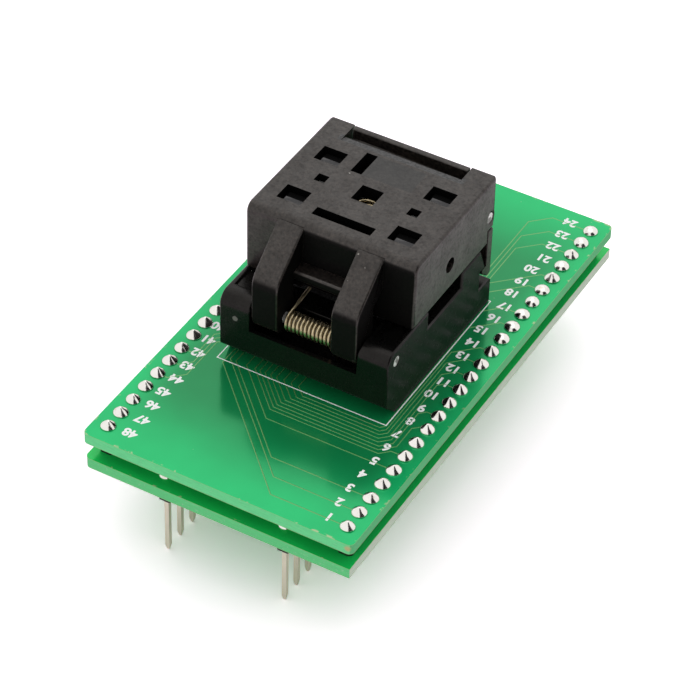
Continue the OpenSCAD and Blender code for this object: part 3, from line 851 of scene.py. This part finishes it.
pinRow("joiningPinsLeft", -rowX, "joining_pins_left")
pinRow("joiningPinsRight", rowX, "joining_pins_right")
jointRow("topJointsLeft", -rowX, boardTop, 1, "top_solder_left")
jointRow("topJointsRight", rowX, boardTop, 1, "top_solder_right")
jointRow("underJointsLeft", -rowX, lowerFloor, -1, "under_solder_left")
jointRow("underJointsRight", rowX, lowerFloor, -1, "under_solder_right")
jointRow("plugJointsLeft", -plugX, lowerTop, 1, "plug_solder_left")
jointRow("plugJointsRight", plugX, lowerTop, 1, "plug_solder_right")
print("solder ready")

# softening, in millimetres and degrees: points welded, faces counted as flat, edges taken, and normals smoothed
softRule = {"weld": 0.002, "flat": 1, "edge": 32, "smooth": 38, "stray": 0.0005}


# moulded pieces: the CAD shape with its outer edges softened, one set of edges after another
def softened(node, name, finish, body, passes):
    rule = softRule
    pick(nodes[node])
    bpy.ops.object.duplicate()
    piece = bpy.context.object
    bpy.ops.object.parent_clear(type="CLEAR_KEEP_TRANSFORM")
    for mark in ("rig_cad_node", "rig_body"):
        if mark in piece:
            del piece[mark]
    piece.data = piece.data.copy()
    mode("EDIT")
    bpy.ops.mesh.select_all(action="SELECT")
    bpy.ops.mesh.remove_doubles(threshold=rule["weld"] * mm)
    bpy.ops.mesh.dissolve_limited(angle_limit=math.radians(rule["flat"]))
    for soft, rings, kept, wanted in passes:
        bpy.ops.mesh.select_mode(type="EDGE")
        bpy.ops.mesh.select_all(action="DESELECT")
        mode("OBJECT")
        mesh = piece.data
        ways = {}
        for face in mesh.polygons:
            ring = list(face.vertices)
            for start, stop in zip(ring, ring[1:] + ring[:1]):
                ways[start, stop] = face.normal
        for edge in mesh.edges:
            start, stop = edge.vertices
            a, b = mesh.vertices[start].co / mm, mesh.vertices[stop].co / mm
            one, two = ways.get((start, stop)), ways.get((stop, start))
            edge.select = bool(one and two and one.cross(b - a).dot(two) < 0
                               and one.angle(two, 0) > math.radians(rule["edge"]) and wanted(a, b))
        mode("EDIT")
        bpy.ops.mesh.bevel(offset=soft * mm, segments=rings, profile=0.5, clamp_overlap=kept, loop_slide=False)
    bpy.ops.mesh.select_all(action="SELECT")
    bpy.ops.mesh.dissolve_degenerate(threshold=rule["stray"] * mm)
    mode("OBJECT")
    bpy.ops.object.shade_smooth_by_angle(angle=math.radians(rule["smooth"]))
    even = piece.modifiers.new("even", "WEIGHTED_NORMAL")
    even.keep_sharp = True
    bpy.ops.object.modifier_apply(modifier="even")
    settle(piece, name, finish, body, (node,))


# where the hinge pin lies, and how far round it the edges of its holes and knuckles are left sharp
hingeY, hingeZ, hingeClear = -11.03, 22.9, 1.3
# where the edges to soften lie: outer sides, without the lid's side holes, the inner and outer sides of its arms
# in front of the lid's block, and the inner sides of the base's ears
edgeZones = {
    "side": 10.79, "holeY": (-6, 10), "holeZ": (25, 33.3), "arms": (3.4, 6.75), "armY": -7.3,
    "foot": 15.2, "ear": 6.9, "earY": -9, "earZ": 20.75, "touch": 0.01,
}


def longer(least):
    return lambda a, b: (a - b).length > least


def clearOfHinge(c):
    return math.hypot(c.y - hingeY, c.z - hingeZ) > hingeClear


def touches(c, *walls):
    return min(abs(abs(c.x) - wall) for wall in walls) < edgeZones["touch"]


def within(value, span):
    return span[0] < value < span[1]


def lidSides(a, b):
    zones = edgeZones
    return all(abs(c.x) > zones["side"] and not (within(c.y, zones["holeY"]) and within(c.z, zones["holeZ"]))
               for c in (a, b))


def lidArms(a, b):
    zones = edgeZones
    return all(touches(c, *zones["arms"]) and c.y < zones["armY"] and clearOfHinge(c) for c in (a, b))


def baseSides(a, b):
    zones = edgeZones
    return all(abs(c.x) > zones["side"] and c.z > zones["foot"] and clearOfHinge(c) for c in (a, b))


def baseEars(a, b):
    zones = edgeZones
    return all(touches(c, zones["ear"]) and c.y < zones["earY"] and c.z > zones["earZ"] and clearOfHinge(c)
               for c in (a, b))


# each set: how soft, in how many rings, whether it stops at its neighbours, and which edges
mouldLook = {
    "lid": [(0.36, 3, False, lidSides), (0.3, 3, False, lidArms), (0.1, 2, True, longer(0.6))],
    "base": [(0.26, 3, False, baseSides), (0.26, 3, False, baseEars), (0.15, 2, False, longer(5))],
    "latch": [(0.2, 3, True, longer(1.0))],
    "inner": [(0.1, 2, True, longer(0.7))],
}
softened("lid", "lidShell", lidPlastic, "lid", mouldLook["lid"])
softened("socket_base", "baseShell", basePlastic, "stack", mouldLook["base"])
softened("latch", "latchShell", latchPlastic, "latch", mouldLook["latch"])
softened("pressure_pad", "padShell", padPlastic, "pad", mouldLook["inner"])
softened("chip_nest", "nestFrame", padPlastic, "stack", mouldLook["inner"])
print("mouldings ready")

# wound wire: sides of the wire, steps in a turn, and the angle in degrees that stays smooth
windRule = {"sides": 10, "steps": 28, "smooth": 50}


# a wire wound round its own Z, from the X side; lead and tail are points the two ends are drawn out to
def windSpring(wire, radius, turns, length, lead=(), tail=()):
    turn = turns * 2 * math.pi
    clearPick()
    bpy.ops.mesh.primitive_circle_add(vertices=windRule["sides"], radius=wire / 2 * mm, rotation=(math.pi / 2, 0, 0))
    piece = bpy.context.object
    bpy.ops.object.transform_apply(location=False, rotation=True, scale=False)
    mode("EDIT")
    bpy.ops.mesh.select_all(action="SELECT")
    bpy.ops.transform.translate(value=(radius * mm, 0, 0))
    mode("OBJECT")
    coil = piece.modifiers.new("coil", "SCREW")
    coil.axis = "Z"
    coil.angle = turn
    coil.screw_offset = length * mm
    coil.steps = coil.render_steps = int(windRule["steps"] * turns)
    coil.use_merge_vertices = False
    bpy.ops.object.modifier_apply(modifier="coil")
    ends = [(Vector((radius, 0, 0)) * mm, lead),
            (Vector((radius * math.cos(turn), radius * math.sin(turn), length)) * mm, tail)]
    for middle, points in ends:
        mode("EDIT")
        bpy.ops.mesh.select_mode(type="EDGE")
        bpy.ops.mesh.select_all(action="SELECT")
        bpy.ops.mesh.region_to_loop()
        mode("OBJECT")
        mesh = piece.data
        for edge in mesh.edges:
            if edge.select and (mesh.vertices[edge.vertices[0]].co - middle).length > wire * mm:
                edge.select = False
        mode("EDIT")
        tip = middle
        for point in points:
            far = Vector(point) * mm
            pull(far - tip)
            tip = far
        bpy.ops.mesh.edge_face_add()
        mode("OBJECT")
    mode("EDIT")
    closeMesh()
    bpy.ops.object.shade_smooth_by_angle(angle=math.radians(windRule["smooth"]))
    return piece


# the lid's spring lies along X: its own X points up and its own Y to the front, tipped back by its rising leg
hingeLook = {
    "axis": (hingeY, hingeZ), "hang": 0.16, "wire": 0.42, "radius": 1.04, "half": 2.82, "turns": 11,
    "tip": 11.2, "leg": 4.35, "aside": 0.2, "leave": 120, "foot": 4.5,
}


def hingeSpring():
    look = hingeLook
    y, z = look["axis"]
    tip = math.radians(look["tip"])
    leave = math.radians(look["leave"]) - tip
    turns = look["turns"] + leave / (2 * math.pi)
    away = Vector((math.cos(leave), math.sin(leave), 0))
    end = look["radius"] * away + Vector((0, 0, 2 * look["half"]))
    piece = windSpring(look["wire"], look["radius"], turns, 2 * look["half"],
                       lead=[(look["radius"], -look["leg"], look["aside"])],
                       tail=[end + look["foot"] * Vector((-away.y, away.x, 0))])
    lie = Matrix(((0, 0, 1, -look["half"] * mm), (0, -1, 0, y * mm), (1, 0, 0, (z - look["hang"]) * mm),
                  (0, 0, 0, 1)))
    piece.matrix_world = lie @ Matrix.Rotation(tip, 4, "Z")
    settle(piece, "hingeSpring", springWire, None, ("hinge_spring",))
    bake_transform(piece)


latchSpringLook = {"start": (0, 8.42, 30.7), "wire": 0.25, "radius": 0.69, "turns": 5, "length": 2.45, "keep": 0.75}


def latchSpring():
    look = latchSpringLook
    x, y, z = look["start"]
    piece = windSpring(look["wire"], look["radius"], look["turns"], look["length"] - look["wire"])
    piece.matrix_world = Matrix(((1, 0, 0, x * mm), (0, 0, 1, (y + look["wire"] / 2) * mm), (0, -1, 0, z * mm),
                                 (0, 0, 0, 1)))
    settle(piece, "latchSpring", springWire, "lid", ("latch_spring",))
    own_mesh(piece)


pressLook = {"foot": (0, 0.95, 27.31), "top": 31.89, "wire": 0.5, "radius": 1.6, "turns": 6.5, "keep": 0.84}


def pressSpring():
    look = pressLook
    x, y, z = look["foot"]
    piece = windSpring(look["wire"], look["radius"], look["turns"], look["top"] - z - look["wire"])
    piece.location = (x * mm, y * mm, (z + look["wire"] / 2) * mm)
    settle(piece, "pressureSpring", springWire, "lid", ("pressure_spring",))
    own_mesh(piece)


hingeSpring()
latchSpring()
pressSpring()
print("springs ready")
